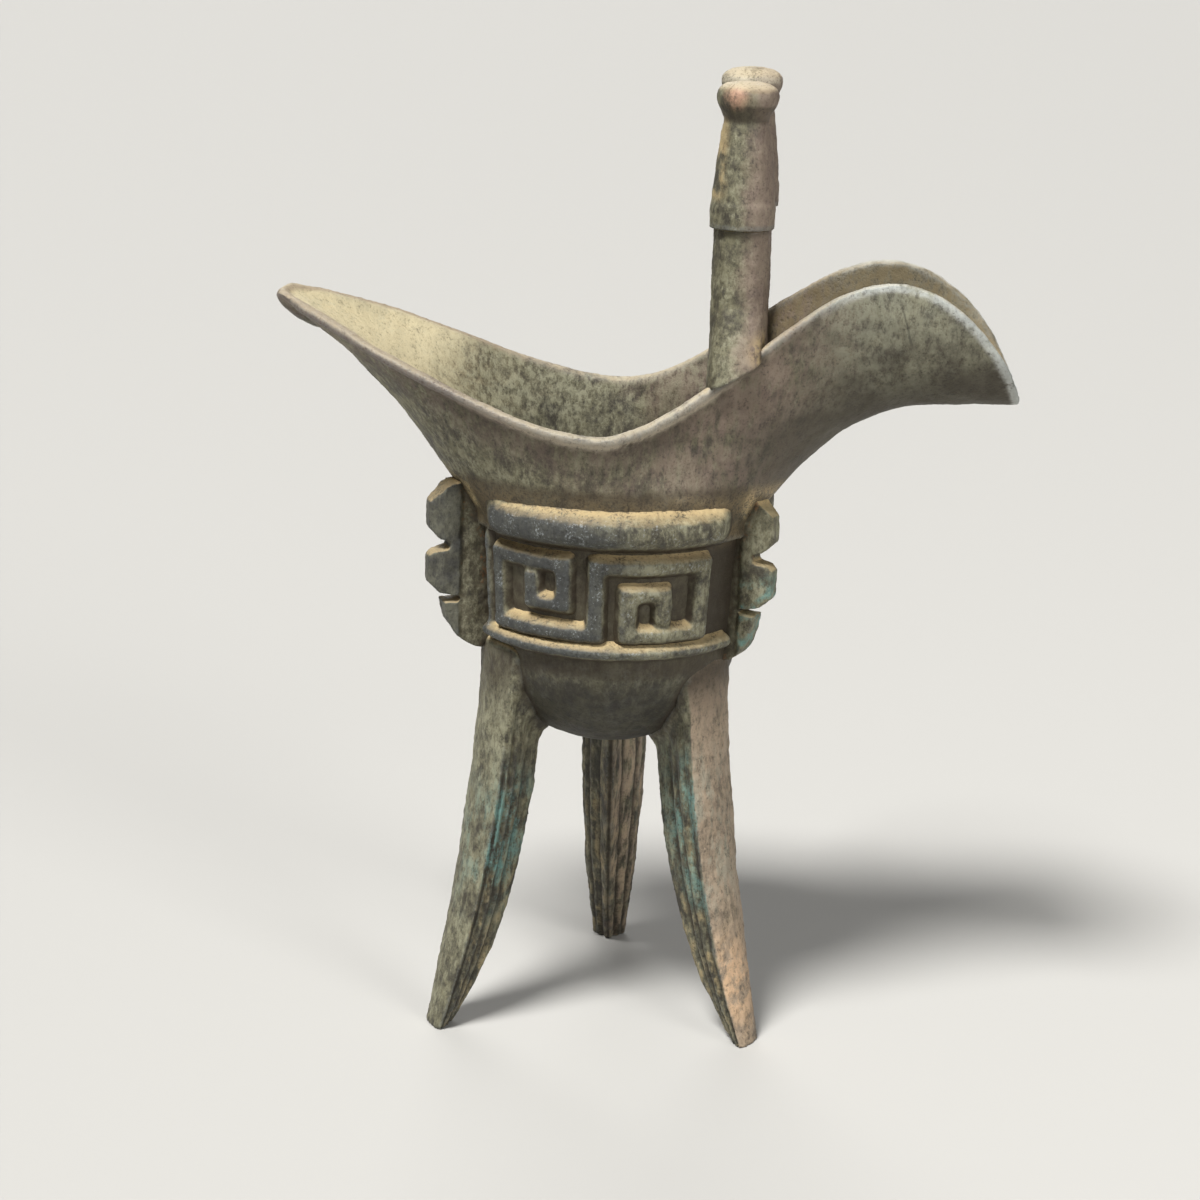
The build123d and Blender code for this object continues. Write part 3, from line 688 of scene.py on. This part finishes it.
# The legs: solid bronze sabre legs, cast on under the bowl, each with a rounded outer plate and grooved
# flanks that meet in a ridge. Verdigris has grown along the grooves, and the spout side's plate is pinkish.
LEG_CELL = 0.3 * MM
LEG_SOFTENING = 2
LEG_SKIN = dict(swell=0.25 * MM, swell_length=8 * MM, pit=0.1 * MM, pit_length=1.3 * MM)
LEG_DUST = 0.7
LEG_FILLET = 3.0 * MM
LEG_SPREAD = 0.5
LEG_LEVEL = 0.5 * MM
PLATE_FACING = (0.5, 0.8)
GROOVE_SHARES = (0.2, 0.46, 0.7)
GROOVE_WIDTH = 0.5 * MM
GROOVE_DEPTH = 0.55 * MM
GROOVE_FADE = (0.8, 0.6)
INNER_EDGE = (0.6, 0.9)
SOFT_TOP = 7.0 * MM
SOFT_FULL = 0.4 * SOFT_TOP
SOFT_ROUNDS = 14
TAN = paint(172, 152, 130)
PEACH = paint(224, 188, 150)
PEACH_SPOT = (27, -19, 12)
TAIL_SIDE_GREEN = (-19, -17, 34)
SPOUT_SIDE_GREEN = (20, -18, 38)


def groove(piece):
    """Cuts the long grooves into a leg's flanks and its inner edge. Notes them and the outer plate."""
    points, normals = points_of(piece)
    outward = points[:, :2].mean(0) / np.linalg.norm(points[:, :2].mean(0))
    out = points[:, :2] @ outward
    across = points[:, :2] @ np.array([-outward[1], outward[0]])
    z = points[:, 2]
    level = np.clip(z / LEG_LEVEL, 0, None).astype(int)
    most, least = np.full(level.max() + 1, out.min()), np.full(level.max() + 1, out.max())
    np.maximum.at(most, level, out)
    np.minimum.at(least, level, out)
    depth, inward = (most - least)[level], most[level] - out
    plate = ramp(normals[:, :2] @ outward, *PLATE_FACING)
    cut = np.exp(-((across / GROOVE_WIDTH) ** 2)) * ramp(inward / depth, *INNER_EDGE)
    for share in GROOVE_SHARES:
        line = np.exp(-(((inward - share * depth) / GROOVE_WIDTH) ** 2))
        cut = np.maximum(cut, line * (1 - plate))
    cut *= ramp(z / z.max(), *GROOVE_FADE)
    set_points(piece, points - normals * (GROOVE_DEPTH * cut)[:, None])
    note(piece, "groove", cut)
    note(piece, "plate", plate)


def flare(piece):
    """Spreads the top of a leg along the cup's wall and smooths it, where the metal ran together."""
    points, normals = points_of(piece)
    for i, point in enumerate(points):
        spot, across, _, _ = cup_surface.find_nearest(Vector(point), LEG_FILLET)
        if spot is None:
            continue
        gap = max((Vector(point) - spot).dot(across), 0)
        normal = Vector(normals[i])
        along = normal - across * normal.dot(across)
        points[i] += np.array(along) * LEG_SPREAD * LEG_FILLET * (1 - gap / LEG_FILLET) ** 2
    set_points(piece, points)
    gaps = np.array([cup_surface.find_nearest(Vector(p))[3] for p in points])
    soften(piece, ramp(gaps, SOFT_TOP, SOFT_FULL), SOFT_ROUNDS)


def leg_colours(skin, colour):
    """Olive plate on the tail side, tan and peach plate on the spout side, streaked flanks and verdigris."""
    plate, cut = skin.place.noted("plate"), skin.place.noted("groove")
    blotchy = (skin.blot * 0.5 + skin.fleck * 0.5).step(0.36, 0.58)
    streaky = skin.streak * 0.5 + skin.mottle * 0.5
    colour = ((1 - plate) * streaky.step(0.56, 0.42) * 0.5).over(colour, SOOT_AND_SHADE)
    ochre = (1 - plate) * (1 - cut) * streaky.step(0.48, 0.6) * skin.z.step(60, 10)
    colour = (ochre * 0.5).over(colour, OCHRE)
    spout = skin.x.step(6, 14)
    colour = (plate * (1 - spout) * blotchy * 0.3).over(colour, LICHEN)
    colour = (plate * spout * (0.35 + blotchy * 0.6)).over(colour, TAN)
    # Painted shadow on the top of the plates, under the flange and ledge.
    colour = (plate * skin.z.step(54, 65) * 0.65).over(colour, GRIME_AND_SHADE)
    peach = spout * plate * skin.place.near(PEACH_SPOT, 13) * skin.mottle.step(0.38, 0.55)
    colour = (peach * 0.85).over(colour, PEACH)
    rear = skin.y.step(5, 12) * skin.x.step(-2, 2)
    colour = (rear * skin.streak.step(0.36, 0.6) * 0.7).over(colour, TAN)
    # Painted shade in the grooves.
    colour = (cut * 0.75).over(colour, SOOT_AND_SHADE)
    green = skin.place.near(TAIL_SIDE_GREEN, 18) + skin.place.near(SPOUT_SIDE_GREEN, 22) * 0.8
    grown = (skin.streak * 0.35 + skin.blot * 0.45 + skin.grain * 0.2).step(0.46, 0.58)
    return (green * grown * (1 - plate * 0.65) * 0.85).over(colour, TURQUOISE)


leg_bronze = bronze("leg_bronze", leg_colours, LEG_DUST)
for node in ("rear_leg", "tail_side_leg", "spout_side_leg"):
    piece = casting(node, seated(node), LEG_CELL, LEG_SOFTENING)
    groove(piece)
    flare(piece)
    roughen(piece, **LEG_SKIN)
    dress(piece, node, leg_bronze)

# The handle: a bronze strap bent into a loop, on the rear side over the rear leg. Both its ends are cast on
# to the bowl, and it has the legs' patina.
HANDLE_CELL = 0.28 * MM
HANDLE_SOFTENING = 5
HANDLE_SKIN = dict(swell=0.24 * MM, swell_length=7 * MM, pit=0.08 * MM, pit_length=1.2 * MM)
handle = casting("handle", seated("handle"), HANDLE_CELL, HANDLE_SOFTENING)
roughen(handle, **HANDLE_SKIN)
dress(handle, "handle", leg_bronze)

# The posts: bronze uprights that stand on the rim where the spout begins, filed to soft facets. Each foot
# leans out over the lip, and a spigot on top holds the cap.
POST_CELL = 0.25 * MM
POST_SOFTENING = 2
POST_SKIN = dict(swell=0.16 * MM, swell_length=7 * MM, pit=0.08 * MM, pit_length=1.2 * MM)
POST_DUST = 0.5
FACETS = 6
FACET_DEPTH = 0.022
FACET_FADE = 1.0 * MM
FOOT_SHIFT = 3.6 * MM
FOOT_HEIGHT = 11 * MM
FOOT_SEGMENTS = 48
FOOT_SINK = 1.2 * MM
RIM_AT_POST_Z = 118.0 * MM
RIM_SLOPE = 0.56
COPPER_HIGHLIGHT = paint(196, 152, 126)
COPPER_HIGHLIGHT_SPOT = (17.6, -20, 161.2)
SOLDER_SPOT = (24.6, -19.5, 120.6)


def axis_of(node):
    low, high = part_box(node)
    return (low + high) / 2


def footed(node):
    """A post's shape with a foot that leans out over the lip and follows its slope."""
    shape = seated(node)
    axis = axis_of(node + "_cap")
    low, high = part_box(node)
    radius = (high.x - low.x) / 2
    foot = bmesh.ops.create_cone(
        shape, cap_ends=True, segments=FOOT_SEGMENTS, radius1=radius, radius2=radius, depth=FOOT_HEIGHT)
    side = math.copysign(1, axis.y)
    for point in foot["verts"]:
        depth = 0.5 - point.co.z / FOOT_HEIGHT
        point.co.z += RIM_AT_POST_Z - FOOT_SINK + FOOT_HEIGHT / 2 + RIM_SLOPE * point.co.x * depth
        point.co.x += axis.x
        point.co.y += axis.y + side * FOOT_SHIFT * depth
    return shape


def facet(piece, axis, low_z, high_z):
    """Draws the round shaft in between soft vertical edges, over a range of heights."""
    points, _ = points_of(piece)
    flat = points[:, :2] - np.array(axis)[:2]
    angle = np.arctan2(flat[:, 1], flat[:, 0])
    z = points[:, 2]
    share = ramp(z, low_z, low_z + FACET_FADE) * ramp(z, high_z, high_z - FACET_FADE)
    grow = FACET_DEPTH * np.cos(FACETS * angle) * share
    points[:, :2] += flat * grow[:, None]
    set_points(piece, points)


def post_colours(skin, colour):
    """Grey-green left, pinkish right, painted shade under the knob, pale where rubbed, painted coppery
    highlight.
    """
    colour = ((skin.x + (skin.blot - 0.5) * 9).step(18.5, 22.5) * 0.7).over(colour, PINK)
    earth = skin.x.step(17.4, 15.8) * skin.z.between(146, 157, 2) * skin.blot.step(0.38, 0.55)
    colour = (earth * 0.6).over(colour, OCHRE)
    # Painted shade under the knob.
    colour = (skin.z.between(157.3, 159.2, 0.8) * 0.6).over(colour, GRIME_AND_SHADE)
    # A coppery spot on the knob's front: rubbed metal with a painted highlight.
    copper_highlight = skin.place.near(COPPER_HIGHLIGHT_SPOT, 3.0) * (skin.blot * 0.5 + skin.fleck * 0.5).step(0.34, 0.5)
    colour = (copper_highlight * 0.65).over(colour, COPPER_HIGHLIGHT)
    knob = (skin.z + skin.y * 0.05).step(160.8, 161.8)
    rubbed = knob * (skin.blot * 0.5 + skin.grain * 0.5).step(0.36, 0.54)
    colour = (rubbed * 0.75).over(colour, PALE)
    solder = skin.place.near(SOLDER_SPOT, 5) * skin.mottle.step(0.38, 0.54)
    return (solder * 0.8).over(colour, OCHRE)


post_bronze = bronze("post_bronze", post_colours, POST_DUST)
for node in ("front_post", "rear_post"):
    low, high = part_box(node)
    piece = casting(node, footed(node), POST_CELL, POST_SOFTENING)
    facet(piece, axis_of(node + "_cap"), low.z, high.z)
    roughen(piece, **POST_SKIN)
    dress(piece, node, post_bronze)

# The caps: bottle-shaped bronze caps with a domed knob, cast and filed to soft facets. Each is set over the
# spigot on top of its post, and has the post's patina. The profile's points are radius and height in mm.
CAP_COLLAR = [(5.19, 0.0), (5.22, 3.8), (4.98, 4.2)]
CAP_CONE = [(4.41, 11.0), (3.88, 14.7), (3.5, 17.1)]
CAP_KNOB = [(4.2, 18.4), (4.8, 19.6), (5.0, 20.5), (4.85, 21.4)]
CAP_DOME = [(4.3, 22.1), (3.3, 22.65), (1.8, 22.95), (0.0, 23.05)]
CAP_SEGMENTS = 120
CAP_SOFTNESS = 1.4
CAP_FACETS = (4.4 * MM, 16 * MM)
CAP_SKIN = dict(swell=0.14 * MM, swell_length=6 * MM, pit=0.06 * MM, pit_length=1.2 * MM)
CAP_GIRTHS = {"front_post_cap": 1.0, "rear_post_cap": 1.05}


def turned(node, girth):
    """A cap's outside, turned about its axis from the profile and closed at both ends."""
    axis, base = axis_of(node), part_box(node)[0].z
    profile = np.array(CAP_COLLAR + CAP_CONE + CAP_KNOB + CAP_DOME) * MM
    length = np.concatenate([[0], np.cumsum(np.linalg.norm(np.diff(profile, axis=0), axis=1))])
    along = np.arange(0, length[-1], POST_CELL)
    r = blur(np.interp(along, length, profile[:, 0] * girth)[None], CAP_SOFTNESS, 1)[0]
    z = base + np.interp(along, length, profile[:, 1])
    turn = np.linspace(0, 2 * math.pi, CAP_SEGMENTS, endpoint=False)
    x, y = axis.x + np.outer(r, np.cos(turn)), axis.y + np.outer(r, np.sin(turn))
    points = np.stack([x, y, np.broadcast_to(z[:, None], x.shape)], -1).reshape(-1, 3).tolist()
    points += [(axis.x, axis.y, z[0]), (axis.x, axis.y, z[-1])]
    grid = np.arange(x.size).reshape(x.shape)
    ahead = np.roll(grid, -1, axis=1)
    faces = np.stack([grid[:-1], ahead[:-1], ahead[1:], grid[1:]], -1).reshape(-1, 4).tolist()
    faces += [(grid.size, b, a) for a, b in zip(grid[0].tolist(), ahead[0].tolist())]
    faces += [(grid.size + 1, a, b) for a, b in zip(grid[-1].tolist(), ahead[-1].tolist())]
    mesh = bpy.data.meshes.new(node + "_shape")
    mesh.from_pydata(points, [], faces)
    mesh.update()
    return new_piece(node + "_bronze", mesh)


for node, girth in CAP_GIRTHS.items():
    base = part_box(node)[0].z
    piece = turned(node, girth)
    facet(piece, axis_of(node), base + CAP_FACETS[0], base + CAP_FACETS[1])
    roughen(piece, **CAP_SKIN)
    dress(piece, node, post_bronze)

# The earth, painted shade and wear of the whole vessel: earth has stayed in the corners and where two pieces
# meet, and those places are also darkened as painted shade; handling has rubbed the edges. Both are noted on
# every piece's points, for its material to read.
EARTH_AND_SHADE_REACH = 1.6 * MM
EARTH_AND_SHADE_TOUCH = 0.1 * MM
BEND_ROUNDS = 12
HOLLOW_BEND = (0.02 * MM, 0.2 * MM)
EDGE_BEND = (0.04 * MM, 0.24 * MM)


def surface_of(piece):
    points, _ = points_of(piece)
    return BVHTree.FromPolygons([Vector(p) for p in points], [f.vertices[:] for f in piece.data.polygons])


def bend_of(piece):
    """How far each point stands out of its neighbourhood: edges are above 0, corners below."""
    points, normals = points_of(piece)
    return ((points - calm_points(piece, BEND_ROUNDS)) * normals).sum(1)


shells = [(points_of(piece)[0], surface_of(piece)) for piece in pieces]
for k, piece in enumerate(pieces):
    points = shells[k][0]
    gap = np.full(len(points), EARTH_AND_SHADE_REACH)
    for other, surface in shells[:k] + shells[k + 1:]:
        beside = (points > other.min(0) - EARTH_AND_SHADE_REACH) & (points < other.max(0) + EARTH_AND_SHADE_REACH)
        for i in np.nonzero(beside.all(1))[0]:
            found = surface.find_nearest(points[i], gap[i])[3]
            if found is not None:
                gap[i] = found
    bend = bend_of(piece)
    # The corners and joints hold earth and are also darkened with painted shade.
    note(piece, "dirt", ramp(-bend, *HOLLOW_BEND) + ramp(gap, EARTH_AND_SHADE_REACH, EARTH_AND_SHADE_TOUCH))
    note(piece, "wear", ramp(bend, *EDGE_BEND))

# The stage: a pale matt floor, soft light from above on the left, weak lamps on the right and behind, and a
# camera at the photographed angle.
FLOOR_HALF = 12.0
FLOOR_COLOUR = paint(178, 176, 171)
FLOOR_ROUGHNESS = 0.9
corners = [(-FLOOR_HALF, -FLOOR_HALF, 0), (FLOOR_HALF, -FLOOR_HALF, 0)]
corners += [(FLOOR_HALF, FLOOR_HALF, 0), (-FLOOR_HALF, FLOOR_HALF, 0)]
floor_mesh = bpy.data.meshes.new("floor")
floor_mesh.from_pydata(corners, [], [(0, 1, 2, 3)])
floor_paint = bpy.data.materials.new("floor_paint")
floor_paint.use_nodes = True
floor_shader = floor_paint.node_tree.nodes["Principled BSDF"]
floor_shader.inputs["Base Color"].default_value = FLOOR_COLOUR
floor_shader.inputs["Roughness"].default_value = FLOOR_ROUGHNESS
floor_mesh.materials.append(floor_paint)
new_piece("floor", floor_mesh)

ROOM_COLOUR = paint(216, 220, 226)
ROOM_LIGHT = 0.1
world = bpy.data.worlds.new("room")
bpy.context.scene.world = world
world.use_nodes = True
room = world.node_tree.nodes["Background"]
room.inputs["Color"].default_value = ROOM_COLOUR
room.inputs["Strength"].default_value = ROOM_LIGHT
LAMP_AIM = Vector((0, 0, 85 * MM))


def lamp(name, kind, place, softness, power):
    """A soft lamp that points at the middle of the vessel. softness is its size, or a sun's angle."""
    data = bpy.data.lights.new(name, kind)
    setattr(data, "angle" if kind == "SUN" else "size", softness)
    data.energy = power
    item = new_piece(name, data)
    item.location = place
    item.rotation_euler = (LAMP_AIM - Vector(place)).to_track_quat("-Z", "Y").to_euler()


lamp("overhead", "SUN", place=(-0.3, -0.42, 1.0), softness=0.3, power=5.0)
lamp("right", "AREA", place=(0.6, -0.6, 0.5), softness=0.3, power=3.2)
lamp("behind", "SUN", place=(-0.2, 0.8, 0.6), softness=0.6, power=1.0)

CAMERA_TURN = 0.0635
CAMERA_PLACE = (-2.0 * MM, -463.7 * MM, 198.1 * MM)
CAMERA_TILT = 0.2628
CAMERA_ROLL = 0.036
CAMERA_LENS = 84.0
camera = new_piece("camera", bpy.data.cameras.new("camera"))
camera.data.lens = CAMERA_LENS
camera.matrix_world = (
    Matrix.Rotation(CAMERA_TURN, 4, "Z")
    @ Matrix.Translation(CAMERA_PLACE)
    @ Matrix.Rotation(math.pi / 2 - CAMERA_TILT, 4, "X")
    @ Matrix.Rotation(CAMERA_ROLL, 4, "Z")
)
bpy.context.scene.camera = camera
bpy.context.scene.view_settings.view_transform = "Standard"
